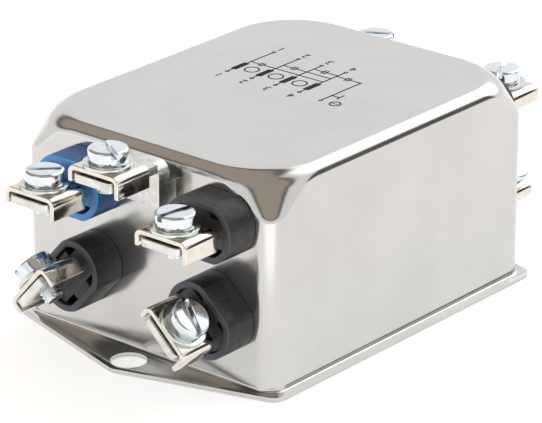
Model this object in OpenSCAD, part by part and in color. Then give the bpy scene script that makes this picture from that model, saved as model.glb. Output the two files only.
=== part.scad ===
// Mains interference filter in a drawn metal can, with four screw clamp terminals
// on each end and an earth clamp on the line end.
// Frame: X across the can, Y along it with the line end towards -Y, Z up.
// The origin is under the middle of the base plate, on the surface it is bolted to.

/* [Can] */
// Width of the can across its long side walls
can_w = 57.5; // [54:0.5:70]
// Length of the can between its end walls
can_l = 72; // [64:0.5:100]
// Height of the can's flat top above the mounting surface
can_h = 39.5; // [38.5:0.5:60]
// Thickness of the can's sheet
can_sheet = 0.5; // [0.4:0.1:0.8]
// Radius of the upright corners
corner_r = 3.8; // [3:0.1:5]
// Plan radius of the corners where the sides meet the top
shoulder_r = 12.5; // [9:0.5:14]
// Radius of the edge around the top
top_edge_r = 1.8; // [1.2:0.1:2.5]
// How far the drawn shoulder reaches down each corner
shoulder_drop = 8.2; // [6:0.2:10]
// Radius of the root where the walls turn into the flange
root_r = 0.6; // [0.3:0.1:1.0]

/* [Base] */
// Thickness of the base plate
base_sheet = 0.4; // [0.4:0.1:0.8]
// Width of the flange outside the side walls
flange_w = 1.6; // [1.2:0.1:3]
// How far each fixing ear reaches past its end wall
ear_reach = 9; // [8.4:0.1:14]
// How far the flange stands past the end wall at the foot of an ear
ear_foot = 0.9; // [0.6:0.1:2]
// Corner radius of the flange and of the ears' tips
flange_r = 2.6; // [2:0.1:4]
// Diameter of the fixing holes
hole_d = 6.5; // [5:0.1:6.6]
// Distance of a fixing hole from its end wall
hole_reach = 4.5; // [4.4:0.1:4.8]

/* [Terminals] */
// Distance between the two columns of terminals, as a share of the can's width
column_share = 0.52; // [0.5:0.01:0.55]
// Height of the lower row above the mounting surface, as a share of the can's height
low_row_share = 0.357; // [0.35:0.001:0.37]
// Height of the upper row above the mounting surface, as a share of the can's height
high_row_share = 0.777; // [0.772:0.001:0.787]
// Sideways place of the terminals' middle on the line end
line_shift = 3; // [-3:0.5:3.5]
// Sideways place of the terminals' middle on the load end
load_shift = -1; // [-3:0.5:3.5]
// How much lower the terminals sit on the load end
load_drop = 2.1; // [0:0.1:2.4]
// Depth of the earth clamp's level under the can's top
earth_drop = 1.1; // [-2:0.1:1.9]
// Distance of the screws from the end walls
screw_reach = 12; // [11.4:0.1:14]
// Turn of the lower terminals that lean away from the middle line
low_left_angle = -48; // [-60:1:0]
// Turn of the lower terminals that lean towards the side wall
low_right_angle = 43; // [0:1:60]

/* [Insulators] */
// Width of an insulator across its round sides
ins_w = 14.6; // [13:0.1:15]
// Height of an insulator between its flats
ins_h = 10.6; // [9.6:0.1:11.4]
// Length of each flat
ins_flat = 7.2; // [6:0.1:8]
// How far an insulator stands out of the wall
ins_out = 6.7; // [5:0.1:7]
// Width of the raised rim around its face
ins_rim = 1.2; // [0.8:0.1:1.5]
// Width of the moat between the rim and the boss
ins_moat = 0.9; // [0.6:0.1:1.1]
// Depth of the moat
ins_moat_depth = 3.2; // [2:0.1:4]
// How far the boss lies under the rim
ins_boss_drop = 0.5; // [0.2:0.1:1]
// Diameter of the neck that passes through the can
neck_d = 9.6; // [9.4:0.1:10]
// Diameter of the collar inside the can
collar_d = 10.8; // [10.4:0.1:11.2]
// Length of the collar inside the can
collar_l = 1.6; // [1:0.1:2.5]

/* [Clamps] */
// Width of a contact tab
tab_w = 8.6; // [8:0.1:8.8]
// Thickness of a contact tab
tab_t = 1.5; // [1.2:0.1:1.8]
// How far a tab reaches past its screw
tab_nose = 4.4; // [3.8:0.1:5]
// How far a tab reaches inside the can past the collar
tab_tail = 3; // [2:0.5:5]
// Height of a tab's upper face above its insulator's middle
tab_level = 0.75; // [0.5:0.05:1]
// Diameter of the clamp screws
screw_d = 4; // [3.5:0.1:4.5]
// Diameter of the screw heads
head_d = 7; // [6.5:0.1:7.6]
// Height of the screw heads
head_h = 2.5; // [2:0.1:3]
// Width of the screwdriver slot
slot_w = 1.2; // [0.8:0.1:1.4]
// Depth of the screwdriver slot
slot_depth = 1.1; // [0.8:0.1:1.3]
// Share of a tab's thickness that its screw still fills with the clamp open
hold_share = 0.7; // [0.5:0.05:1]
// Diameter of the washers
washer_d = 8.8; // [8.2:0.1:9.2]
// Thickness of the washers
washer_t = 0.7; // [0.5:0.1:1]
// Width of a saddle over its two flanges
saddle_w = 11.4; // [10.8:0.1:12]
// Length of a saddle
saddle_l = 8; // [7:0.1:8.8]
// Thickness of a saddle's sheet
saddle_t = 0.9; // [0.7:0.05:1]
// Height of a saddle over its long flange
saddle_h = 4; // [3.6:0.1:4.6]
// How much shorter the other flange is
flange_short = 0.9; // [0:0.1:1.5]
// Outer radius of a saddle's bends
saddle_r = 1.1; // [1:0.05:1.4]
// Travel of a clamp from tight to open
clamp_travel = 2.5; // [1.5:0.1:2.6]

/* [Earth bracket] */
// Width of the bracket's corner beside and under the clamp's tab
bracket_w = 9; // [8.8:0.1:9.4]
// How far its side leg stands out of the wall
bracket_depth = 4.4; // [3:0.1:5]
// Height of its front plate under the clamp's tab
bracket_h = 6.4; // [4:0.1:8]
// Gap between the tab's back edge and the wall
bracket_gap = 1.7; // [1:0.1:2]
// Outer radius of its bend
bracket_r = 2.2; // [1.9:0.1:2.6]

/* [Inside] */
// Thickness of the resin over the base plate
resin_h = 2; // [1:0.5:4]
// Thickness of the insulating liner
liner_t = 0.4; // [0.3:0.1:0.6]
// Gap between the choke's windings and the liner at the can's sides
choke_gap = 3.9; // [1:0.1:6]
// Radial thickness of the choke's core
core_wall = 9; // [6:0.5:11]
// Height of the choke's core
core_h = 14; // [10:0.5:15]
// Thickness of the windings on the core
wind_t = 2.4; // [1.5:0.1:2.5]
// Angle that each winding covers
wind_angle = 68; // [50:1:80]
// Thickness of the capacitor board
board_t = 1.6; // [1:0.1:2]
// Gap between the capacitor board and the liner at each side
board_gap = 3.8; // [2:0.1:6]
// Distance of the board's ends from the end walls
board_inset = 11; // [10:0.5:16]
// Gap between two capacitors
cap_space = 3.5; // [2:0.5:5]
// Length of an X capacitor
xcap_l = 18; // [14:0.5:24]
// Gap between the capacitors and the can's top
cap_gap = 5.2; // [4:0.2:8]
// Length of the Y capacitor
ycap_l = 13; // [10:0.5:20]
// Diameter of the inner leads
lead_d = 2; // [1.4:0.1:2.4]

/* [Hidden] */
$fn = 48;

// One overrun serves every cut
over = 1;
// Radial play of a screw in its tab, saddle and washer
run_gap = 0.05;
// Play between a screw head and the washer it turns on
head_gap = 0.05;
// Play between a tab and the saddle over it when the clamp is shut
clamp_gap = 0.35;
// Play of the tabs in their insulators and of the necks in the can
seat_gap = 0.05;
// Facets round the drawn shoulder
soft_fn = 32;
// Edge break of a screw head and of a screw's tip
head_edge = 0.35;
tip_edge = 0.5;
// Edge break round an insulator's rim
ins_edge = 0.25;
// Radius of a tab's corners at its nose
tab_corner = 1;

flange_top = base_sheet + can_sheet;
wall_y = can_l / 2;
neck_l = can_sheet + seat_gap;
collar_y = neck_l + collar_l;

// Heights in a terminal's own frame, from its insulator's middle
saddle_low = tab_level + clamp_gap;
saddle_top = saddle_low + saddle_t;
washer_top = saddle_top + washer_t;
head_low = washer_top + head_gap;
tip_low = tab_level - hold_share * tab_t - clamp_travel;

resin_top = base_sheet + resin_h;
liner_in = can_sheet + seat_gap + liner_t;
wind_low = resin_top;
core_low = wind_low + wind_t;
wind_top = core_low + core_h + wind_t;
wind_ro = min(can_w, can_l) / 2 - liner_in - choke_gap;
core_ro = wind_ro - wind_t;
core_ri = core_ro - core_wall;
wind_ri = core_ri - wind_t;
board_top = wind_top + board_t;
board_w = can_w - 2 * (liner_in + board_gap);
board_l = can_l - 2 * board_inset;
cap_pitch = board_w / 4;
cap_w = cap_pitch - cap_space;
cap_h = can_h - can_sheet - cap_gap - board_top;
liner_top = can_h - shoulder_drop - can_sheet;
tail_y = wall_y - collar_y - tab_tail;

// The four places of a terminal on the line end, as column, row and lean, looking at that
// end: the neutral one is top left, the others are top right, low left and low right
left_column = -column_share * can_w / 2;
right_column = column_share * can_w / 2;
low_row_z = low_row_share * can_h;
high_row_z = high_row_share * can_h;
earth_z = can_h - earth_drop;
SPOTS = [
    [left_column, high_row_z, 0],
    [right_column, high_row_z, 0],
    [left_column, low_row_z, low_left_angle],
    [right_column, low_row_z, low_right_angle]
];
// Turn of each screw's slot as it was last left, line end first, then load end, then earth
SLOT_TURNS = [46, 81, 75, -15, 30, -62, 20, 100, -31];

steel = "#d3d1ce";
tin = "#c9c7c2";
zinc = "#b9c6cf";
black_plastic = "#2c2a2e";
blue_plastic = "#3f7fc4";

// Carries its children from a terminal's own frame to its place on the line end
module line_place(spot) {
    translate([line_shift + spot[0], -wall_y, spot[1]])
        rotate([0, spot[2], 0])
            children();
}

// Carries its children from a terminal's own frame to its place on the load end,
// where left and right keep their sides of the can
module load_place(spot) {
    translate([load_shift + spot[0], wall_y, spot[1] - load_drop])
        rotate([0, spot[2], 0])
            rotate([0, 0, 180])
                children();
}

// Carries its children from a terminal's own frame to the earth clamp's place
module earth_place() {
    translate([line_shift, -wall_y, earth_z])
        children();
}

// The drawn can's body as a solid that starts at z = low, drawn in by inset on every face
module can_form(inset, low) {
    hull() {
        for (sx = [-1, 1])
            for (sy = [-1, 1]) {
                translate([sx * (can_w / 2 - corner_r), sy * (can_l / 2 - corner_r), low])
                    cylinder(r = corner_r - inset, h = can_h - shoulder_drop - low, $fn = soft_fn);
                translate([sx * (can_w / 2 - shoulder_r), sy * (can_l / 2 - shoulder_r), can_h - top_edge_r])
                    rotate_extrude($fn = soft_fn)
                        translate([shoulder_r - top_edge_r, 0])
                            circle(r = top_edge_r - inset, $fn = soft_fn);
            }
    }
}

// The centres of the flange's six rounded corners: four at the sides and the two ears' tips
side_x = can_w / 2 + flange_w - flange_r;
foot_y = can_l / 2 + ear_foot - flange_r;
tip_y = can_l / 2 + ear_reach - flange_r;
FLANGE_CENTRES = [
    [side_x, -foot_y], [side_x, foot_y], [0, tip_y],
    [-side_x, foot_y], [-side_x, -foot_y], [0, -tip_y]
];

// The outward normal of the edge from corner i to the next one
function edge_normal(points, i) =
    let (a = points[i % len(points)], b = points[(i + 1) % len(points)], d = b - a)
    [d[1], -d[0]] / norm(d);

// The flange's outline as a plate of thickness t
module flange_plate(t) {
    count = len(FLANGE_CENTRES);
    linear_extrude(t)
        polygon([
            for (i = [0 : count - 1])
                for (k = [i + count - 1, i])
                    FLANGE_CENTRES[i] + flange_r * edge_normal(FLANGE_CENTRES, k)
        ]);
    for (c = FLANGE_CENTRES)
        translate(c)
            cylinder(r = flange_r, h = t);
}

// The two fixing holes as cutters
module fixing_holes() {
    for (sy = [-1, 1])
        translate([0, sy * (wall_y + hole_reach), -over])
            cylinder(d = hole_d, h = flange_top + 2 * over);
}

// The turned root between the walls and the flange
module root_form() {
    hull()
        for (sx = [-1, 1])
            for (sy = [-1, 1])
                translate([sx * (can_w / 2 - corner_r), sy * (can_l / 2 - corner_r), base_sheet]) {
                    cylinder(r = corner_r + root_r, h = can_sheet, $fn = soft_fn);
                    cylinder(r = corner_r, h = can_sheet + root_r, $fn = soft_fn);
                }
}

// Drawn can: body, turned root and flange, open underneath, with a hole for each neck
module can() {
    color(steel)
    difference() {
        union() {
            can_form(0, base_sheet);
            root_form();
            translate([0, 0, base_sheet])
                flange_plate(can_sheet);
        }
        can_form(can_sheet, base_sheet - over);
        fixing_holes();
        for (spot = SPOTS) {
            line_place(spot)
                neck_cut();
            load_place(spot)
                neck_cut();
        }
    }
}

// The hole that an insulator's neck leaves in the can
module neck_cut() {
    translate([0, -over, 0])
        rotate([-90, 0, 0])
            cylinder(d = neck_d + 2 * seat_gap, h = 2 * over + can_sheet);
}

// Flat base plate under the flange, which carries the same ears and holes
module base_plate() {
    color(tin)
    difference() {
        flange_plate(base_sheet);
        fixing_holes();
    }
}

// A rounded box standing on z = low, drawn in by inset from the can's walls
module wall_box(inset, low, high) {
    r = corner_r - inset;
    translate([0, 0, low]) {
        linear_extrude(high - low)
            square([can_w - 2 * inset, can_l - 2 * corner_r], center = true);
        linear_extrude(high - low)
            square([can_w - 2 * corner_r, can_l - 2 * inset], center = true);
        for (sx = [-1, 1])
            for (sy = [-1, 1])
                translate([sx * (can_w / 2 - corner_r), sy * (can_l / 2 - corner_r), 0])
                    cylinder(r = r, h = high - low);
    }
}

// Resin that seals the can over the base plate
module resin() {
    color("#5b5348")
    wall_box(can_sheet + seat_gap, base_sheet, resin_top);
}

// Insulating liner against the can's walls, open for the insulators' collars
module liner() {
    color("#e6dfc8")
    difference() {
        wall_box(can_sheet + seat_gap, resin_top, liner_top);
        wall_box(liner_in, resin_top - over, liner_top + over);
        for (spot = SPOTS) {
            line_place(spot)
                collar_cut();
            load_place(spot)
                collar_cut();
        }
    }
}

// The hole that an insulator's collar needs in the liner
module collar_cut() {
    rotate([-90, 0, 0])
        cylinder(d = collar_d + 2 * liner_t, h = collar_y + over);
}

// Ferrite ring of the choke
module choke_core() {
    color("#3b3b3d")
    translate([0, 0, core_low])
        difference() {
            cylinder(r = core_ro, h = core_h);
            translate([0, 0, -over])
                cylinder(r = core_ri, h = core_h + 2 * over);
        }
}

// One of the choke's four windings, on quadrant q
module winding(q) {
    color("#b5713a")
    rotate([0, 0, 90 * q + 45 - wind_angle / 2])
        difference() {
            translate([0, 0, wind_low])
                rotate_extrude(angle = wind_angle)
                    translate([wind_ri, 0])
                        square([wind_ro - wind_ri, wind_top - wind_low]);
            translate([0, 0, core_low])
                rotate([0, 0, -over])
                    rotate_extrude(angle = wind_angle + 2 * over)
                        translate([core_ri, 0])
                            square([core_wall, core_h]);
        }
}

// Board on top of the choke that carries the capacitors
module capacitor_board() {
    color("#4d7a55")
    translate([0, 0, wind_top])
        linear_extrude(board_t)
            square([board_w, board_l], center = true);
}

// A capacitor of length l on the board, in place i of the row of four
module capacitor(i, l) {
    translate([(i - 1.5) * cap_pitch, 0, board_top])
        linear_extrude(cap_h)
            square([cap_w, l], center = true);
}

// X capacitor i, counted from the left
module x_capacitor(i) {
    color("#d9b43c")
    capacitor(i, xcap_l);
}

// Y capacitor, the last one of the row
module y_capacitor() {
    color("#3d6fb0")
    capacitor(3, ycap_l);
}

// A straight stretch of lead between two points
module lead_run(a, b) {
    d = b - a;
    translate(a)
        rotate([0, acos(d[2] / norm(d)), atan2(d[1], d[0])])
            cylinder(d = lead_d, h = norm(d));
}

// The lead of one terminal: straight onto the choke from the lower row, and down
// beside the choke from the upper row, its end just clear of the winding's curve; side is
// -1 on the line end
module lead(x, z, side) {
    turn_y = side * (board_l / 2 + lead_d);
    drop_z = core_low + core_h;
    near_x = abs(x) - lead_d / 2;
    wind_y = side * (sqrt(wind_ro * wind_ro - near_x * near_x) + seat_gap);
    start = [x, side * tail_y, z];
    if (z < wind_top)
        lead_run(start, [x, wind_y, z]);
    else {
        lead_run(start, [x, turn_y, z]);
        lead_run([x, turn_y, z], [x, turn_y, drop_z]);
        lead_run([x, turn_y, drop_z], [x, wind_y, drop_z]);
        for (p = [[x, turn_y, z], [x, turn_y, drop_z]])
            translate(p)
                sphere(d = lead_d);
    }
}

module leads_line() {
    color("#c7793f")
    for (spot = SPOTS)
        lead(line_shift + spot[0], spot[1], -1);
}

module leads_load() {
    color("#c7793f")
    for (spot = SPOTS)
        lead(load_shift + spot[0], spot[1] - load_drop, 1);
}

// The insulator's outline drawn in by inset, as a bar along Y from y0 to y1
module insulator_bar(inset, y0, y1) {
    half_w = ins_w / 2 - inset;
    half_h = ins_h / 2 - inset;
    cut = (ins_flat + ins_h) / 2 * cos(45) - inset;
    translate([0, y0, 0])
        rotate([-90, 0, 0])
            intersection() {
                cylinder(r = half_w, h = y1 - y0);
                translate([-half_w, -half_h, 0])
                    cube([2 * half_w, 2 * half_h, y1 - y0]);
                rotate([0, 0, 45])
                    translate([-cut, -cut, 0])
                        cube([2 * cut, 2 * cut, y1 - y0]);
            }
}

// Moulded insulator: the body outside the wall with its rim, moat and boss, the neck
// through the wall, the collar behind it and the slot for the tab
module insulator() {
    difference() {
        union() {
            difference() {
                union() {
                    insulator_bar(0, -ins_out + ins_edge, 0);
                    insulator_bar(ins_edge, -ins_out, 0);
                }
                insulator_bar(ins_rim, -ins_out - over, -ins_out + ins_moat_depth);
            }
            insulator_bar(ins_rim + ins_moat, -ins_out + ins_boss_drop, 0);
            rotate([-90, 0, 0])
                cylinder(d = neck_d, h = collar_y);
            translate([0, neck_l, 0])
                rotate([-90, 0, 0])
                    cylinder(d = collar_d, h = collar_l);
        }
        translate([-tab_w / 2 - seat_gap, -ins_out - over, tab_level - tab_t - seat_gap])
            cube([tab_w + 2 * seat_gap, ins_out + collar_y + 2 * over, tab_t + 2 * seat_gap]);
    }
}

// The bore of a screw as a cutter along a terminal's Z
module screw_bore() {
    translate([0, -screw_reach, tip_low - over])
        cylinder(r = screw_d / 2 + run_gap, h = head_low - tip_low + 2 * over);
}

// The flat of a contact tab from its nose back to y = back, with round nose corners
module tab_flat(back) {
    nose = screw_reach + tab_nose;
    translate([0, 0, tab_level - tab_t]) {
        translate([-tab_w / 2, -nose + tab_corner, 0])
            cube([tab_w, nose - tab_corner + back, tab_t]);
        translate([-tab_w / 2 + tab_corner, -nose, 0])
            cube([tab_w - 2 * tab_corner, 2 * tab_corner, tab_t]);
        for (sx = [-1, 1])
            translate([sx * (tab_w / 2 - tab_corner), -nose + tab_corner, 0])
                cylinder(r = tab_corner, h = tab_t);
    }
}

// Contact tab that passes through its insulator into the can
module tab() {
    difference() {
        tab_flat(collar_y + tab_tail);
        screw_bore();
    }
}

// A block of width w, length l and height h under z = 0 with its two long top edges round
module round_block(w, l, h, r) {
    translate([-w / 2 + r, -l / 2, -h])
        cube([w - 2 * r, l, h]);
    translate([-w / 2, -l / 2, -h])
        cube([w, l, h - r]);
    for (sx = [-1, 1])
        translate([sx * (w / 2 - r), -l / 2, -r])
            rotate([-90, 0, 0])
                cylinder(r = r, h = l);
}

// Saddle clamp: a sheet folded down on both sides of the tab, one flange longer
module saddle() {
    difference() {
        translate([0, -screw_reach, saddle_top])
            difference() {
                round_block(saddle_w, saddle_l, saddle_h, saddle_r);
                translate([0, 0, -saddle_t])
                    round_block(saddle_w - 2 * saddle_t, saddle_l + 2 * over, saddle_h, saddle_r - saddle_t);
                translate([-saddle_w / 2 - over, -saddle_l / 2 - over, -saddle_h - over])
                    cube([saddle_w / 2 + over, saddle_l + 2 * over, flange_short + over]);
            }
        screw_bore();
    }
}

// Plain washer between the saddle and the screw's head
module washer() {
    difference() {
        translate([0, -screw_reach, saddle_top])
            cylinder(d = washer_d, h = washer_t);
        screw_bore();
    }
}

// Slotted clamp screw, its slot turned by turn
module screw(turn) {
    head_r = head_d / 2;
    shank_r = screw_d / 2;
    translate([0, -screw_reach, 0])
        difference() {
            rotate_extrude()
                polygon([
                    [0, tip_low],
                    [shank_r - tip_edge, tip_low],
                    [shank_r, tip_low + tip_edge],
                    [shank_r, head_low],
                    [head_r, head_low],
                    [head_r, head_low + head_h - head_edge],
                    [head_r - head_edge, head_low + head_h],
                    [0, head_low + head_h]
                ]);
            rotate([0, 0, turn])
                translate([-head_r - over, -slot_w / 2, head_low + head_h - slot_depth])
                    cube([head_d + 2 * over, slot_w, slot_depth + over]);
        }
}

// Sheet bent down at its right side, with its outer face at x = right and its top at
// the tab's level, from y0 to y1 and down to z = low
module bent_strip(right, y0, y1, low) {
    bend_x = right - bracket_r;
    bend_z = tab_level - bracket_r;
    translate([0, y0, 0]) {
        translate([0, 0, tab_level - tab_t])
            cube([bend_x, y1 - y0, tab_t]);
        translate([right - tab_t, 0, low])
            cube([tab_t, y1 - y0, bend_z - low]);
        translate([bend_x, 0, bend_z])
            rotate([-90, 0, 0])
                intersection() {
                    difference() {
                        cylinder(r = bracket_r, h = y1 - y0);
                        translate([0, 0, -over])
                            cylinder(r = bracket_r - tab_t, h = y1 - y0 + 2 * over);
                    }
                    translate([0, -bracket_r, 0])
                        cube([bracket_r, bracket_r, y1 - y0]);
                }
    }
}

// Earth bracket: the clamp's tab, the strip that bends down from its side, the leg that
// meets the wall under the bend, and the front plate that stiffens the corner
module earth_bracket() {
    right = bracket_w / 2;
    foot_z = tab_level - tab_t - bracket_h;
    wall_z = tab_level - bracket_r - bracket_gap;
    color(tin)
    earth_place()
        difference() {
            union() {
                tab_flat(-bracket_gap);
                bent_strip(right, -bracket_depth, -bracket_gap, foot_z);
                translate([right - tab_t, -bracket_depth, foot_z])
                    cube([tab_t, bracket_depth, wall_z - foot_z]);
                translate([-right, -bracket_depth, foot_z])
                    cube([bracket_w, tab_t, bracket_h]);
            }
            screw_bore();
        }
}

module insulator_line(i) {
    color(i == 0 ? blue_plastic : black_plastic)
    line_place(SPOTS[i])
        insulator();
}

module insulator_load(i) {
    color(i == 0 ? blue_plastic : black_plastic)
    load_place(SPOTS[i])
        insulator();
}

module tab_line(i) {
    color(tin)
    line_place(SPOTS[i])
        tab();
}

module tab_load(i) {
    color(tin)
    load_place(SPOTS[i])
        tab();
}

module saddle_line(i) {
    color(tin)
    line_place(SPOTS[i])
        saddle();
}

module saddle_load(i) {
    color(tin)
    load_place(SPOTS[i])
        saddle();
}

module saddle_earth() {
    color(tin)
    earth_place()
        saddle();
}

module washer_line(i) {
    color(zinc)
    line_place(SPOTS[i])
        washer();
}

module washer_load(i) {
    color(zinc)
    load_place(SPOTS[i])
        washer();
}

module washer_earth() {
    color(zinc)
    earth_place()
        washer();
}

module screw_line(i) {
    color(zinc)
    line_place(SPOTS[i])
        screw(SLOT_TURNS[i]);
}

module screw_load(i) {
    color(zinc)
    load_place(SPOTS[i])
        screw(SLOT_TURNS[i + 4]);
}

module screw_earth() {
    color(zinc)
    earth_place()
        screw(SLOT_TURNS[8]);
}

can();
base_plate();
resin();
liner();
choke_core();
winding(0);  // winding_1
winding(1);  // winding_2
winding(2);  // winding_3
winding(3);  // winding_4
capacitor_board();
x_capacitor(0);  // x_capacitor_1
x_capacitor(1);  // x_capacitor_2
x_capacitor(2);  // x_capacitor_3
y_capacitor();
leads_line();
leads_load();
earth_bracket();
insulator_line(0);  // insulator_line_n
insulator_line(1);  // insulator_line_1
insulator_line(2);  // insulator_line_2
insulator_line(3);  // insulator_line_3
insulator_load(0);  // insulator_load_n
insulator_load(1);  // insulator_load_1
insulator_load(2);  // insulator_load_2
insulator_load(3);  // insulator_load_3
tab_line(0);  // tab_line_n
tab_line(1);  // tab_line_1
tab_line(2);  // tab_line_2
tab_line(3);  // tab_line_3
tab_load(0);  // tab_load_n
tab_load(1);  // tab_load_1
tab_load(2);  // tab_load_2
tab_load(3);  // tab_load_3
saddle_line(0);  // saddle_line_n
saddle_line(1);  // saddle_line_1
saddle_line(2);  // saddle_line_2
saddle_line(3);  // saddle_line_3
saddle_load(0);  // saddle_load_n
saddle_load(1);  // saddle_load_1
saddle_load(2);  // saddle_load_2
saddle_load(3);  // saddle_load_3
saddle_earth();
washer_line(0);  // washer_line_n
washer_line(1);  // washer_line_1
washer_line(2);  // washer_line_2
washer_line(3);  // washer_line_3
washer_load(0);  // washer_load_n
washer_load(1);  // washer_load_1
washer_load(2);  // washer_load_2
washer_load(3);  // washer_load_3
washer_earth();
screw_line(0);  // screw_line_n
screw_line(1);  // screw_line_1
screw_line(2);  // screw_line_2
screw_line(3);  // screw_line_3
screw_load(0);  // screw_load_n
screw_load(1);  // screw_load_1
screw_load(2);  // screw_load_2
screw_load(3);  // screw_load_3
screw_earth();
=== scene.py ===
"""Looks of a mains interference filter: a drawn metal can with saddle screw clamps.

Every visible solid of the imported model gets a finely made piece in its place. A piece is
modelled in millimetres, in the frame of the clamp or can it belongs to, and is then
carried to its place in the model's own frame, in metres.
"""

import logging
import math
from contextlib import contextmanager
from dataclasses import dataclass, field
from enum import Enum
from typing import Callable, Iterator, Sequence

import bmesh
import bpy
from mathutils import Matrix, Vector


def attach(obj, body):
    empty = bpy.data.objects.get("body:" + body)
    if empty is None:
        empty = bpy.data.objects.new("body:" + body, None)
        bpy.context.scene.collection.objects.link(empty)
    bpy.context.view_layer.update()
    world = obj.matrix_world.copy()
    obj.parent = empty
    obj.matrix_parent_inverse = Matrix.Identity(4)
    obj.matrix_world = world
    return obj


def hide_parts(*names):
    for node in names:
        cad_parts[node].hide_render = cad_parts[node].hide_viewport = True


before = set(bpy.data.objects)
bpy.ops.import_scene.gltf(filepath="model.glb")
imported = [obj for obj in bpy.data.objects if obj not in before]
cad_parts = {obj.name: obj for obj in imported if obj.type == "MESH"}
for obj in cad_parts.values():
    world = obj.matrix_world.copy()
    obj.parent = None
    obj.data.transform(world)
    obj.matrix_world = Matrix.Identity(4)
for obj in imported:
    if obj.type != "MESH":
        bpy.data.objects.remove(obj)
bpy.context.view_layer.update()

LOG = logging.getLogger("filter")
MM = 0.001
TO_METRES = Matrix.Scale(MM, 4)
HOUSING = "housing"
Piece = bpy.types.Object
Pair = tuple[float, float]
Triple = tuple[float, float, float]


def deselect() -> None:
    """Clears the selection, so that the next move acts on its own piece only."""
    bpy.ops.object.select_all(action="DESELECT")


def pick_all() -> None:
    """Selects the whole of the piece in edit mode."""
    bpy.ops.mesh.select_all(action="SELECT")


def shift(step: Sequence[float]) -> None:
    """Moves what is selected."""
    bpy.ops.transform.translate(value=tuple(step))


def resize(scale: Sequence[float], middle: Sequence[float] = (0, 0, 0)) -> None:
    """Scales what is selected along X, Y and Z, about a point that stays."""
    bpy.ops.transform.resize(value=tuple(scale), center_override=tuple(middle))


def hold(piece: Piece) -> Piece:
    """Makes one piece the selected and active one.

    Args:
        piece: The piece to work on.

    Returns:
        The same piece.
    """
    deselect()
    piece.select_set(True)
    bpy.context.view_layer.objects.active = piece
    return piece


def started(name: str) -> Piece:
    """Names the primitive that was just added.

    Args:
        name: Name of the new piece.

    Returns:
        The new piece.
    """
    piece = bpy.context.active_object
    piece.name = name
    piece.data.name = name
    return piece


@contextmanager
def editing(piece: Piece) -> Iterator[None]:
    """Holds a piece in edit mode with nothing selected.

    Args:
        piece: The piece to edit.
    """
    hold(piece)
    bpy.ops.object.mode_set(mode="EDIT")
    bpy.ops.mesh.select_mode(type="VERT")
    bpy.ops.mesh.select_all(action="DESELECT")
    try:
        yield
    finally:
        bpy.ops.object.mode_set(mode="OBJECT")


def pick_edges(piece: Piece, test: Callable[[bmesh.types.BMEdge], bool]) -> None:
    """Selects edges of the piece in edit mode.

    Args:
        piece: The piece in edit mode.
        test: Says whether an edge is taken.
    """
    bpy.ops.mesh.select_mode(type="EDGE")
    bpy.ops.mesh.select_all(action="DESELECT")
    cage = bmesh.from_edit_mesh(piece.data)
    for edge in cage.edges:
        edge.select_set(test(edge))
    bmesh.update_edit_mesh(piece.data)


def pick_points(piece: Piece, test: Callable[[Vector], bool]) -> None:
    """Selects points of the piece in edit mode, with the edges and faces between them.

    Args:
        piece: The piece in edit mode.
        test: Says whether a point at this place is taken.
    """
    bpy.ops.mesh.select_mode(type="VERT")
    bpy.ops.mesh.select_all(action="DESELECT")
    cage = bmesh.from_edit_mesh(piece.data)
    for point in cage.verts:
        point.select_set(test(point.co))
    cage.select_flush(True)
    bmesh.update_edit_mesh(piece.data)


def push(step: Sequence[float]) -> None:
    """Extrudes what is selected by a step."""
    bpy.ops.mesh.extrude_region_move(TRANSFORM_OT_translate={"value": tuple(step)})


def cut_away(point: Sequence[float], normal: Sequence[float], fill: bool = False) -> None:
    """Cuts the whole piece in edit mode with a plane and drops the side that normal points to.

    Args:
        point: A point of the plane.
        normal: Direction of the side that is dropped.
        fill: Whether the cut is closed with a face.
    """
    pick_all()
    bpy.ops.mesh.bisect(plane_co=tuple(point), plane_no=tuple(normal), use_fill=fill,
                        clear_outer=True, clear_inner=False)


def modify(piece: Piece, kind: str, **settings: object) -> None:
    """Adds a modifier and applies it at once.

    Args:
        piece: The piece.
        kind: Blender's name of the modifier.
        **settings: Its settings.
    """
    hold(piece)
    modifier = piece.modifiers.new(kind.lower(), kind)
    for key, value in settings.items():
        setattr(modifier, key, value)
    bpy.ops.object.modifier_apply(modifier=modifier.name)


def soften(piece: Piece, width: float, segments: int = 2, angle: float = 35.0) -> None:
    """Rounds every edge sharper than an angle in degrees, by a width in millimetres."""
    modify(piece, "BEVEL", width=width, segments=segments, limit_method="ANGLE",
           angle_limit=math.radians(angle))


def carve(piece: Piece, cutter: Piece) -> None:
    """Cuts one piece out of another and drops the cutter."""
    modify(piece, "BOOLEAN", operation="DIFFERENCE", object=cutter, solver="EXACT")
    drop(cutter)


def fuse(pieces: Sequence[Piece]) -> Piece:
    """Unites solids that touch or overlap into one solid without inner faces.

    Args:
        pieces: The solids, of which the first one stays.

    Returns:
        The united solid.
    """
    base = pieces[0]
    for other in pieces[1:]:
        modify(base, "BOOLEAN", operation="UNION", object=other, solver="EXACT")
        drop(other)
    face_out(base)
    with editing(base):
        pick_all()
        bpy.ops.mesh.dissolve_limited(angle_limit=math.radians(1.0))
    return base


def weld(pieces: Sequence[Piece], name: str) -> Piece:
    """Joins pieces into one.

    Args:
        pieces: The pieces, of which the first one stays.
        name: Name of the result.

    Returns:
        The joined piece.
    """
    hold(pieces[0])
    for piece in pieces[1:]:
        piece.select_set(True)
    bpy.ops.object.join()
    return started(name)


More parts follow.
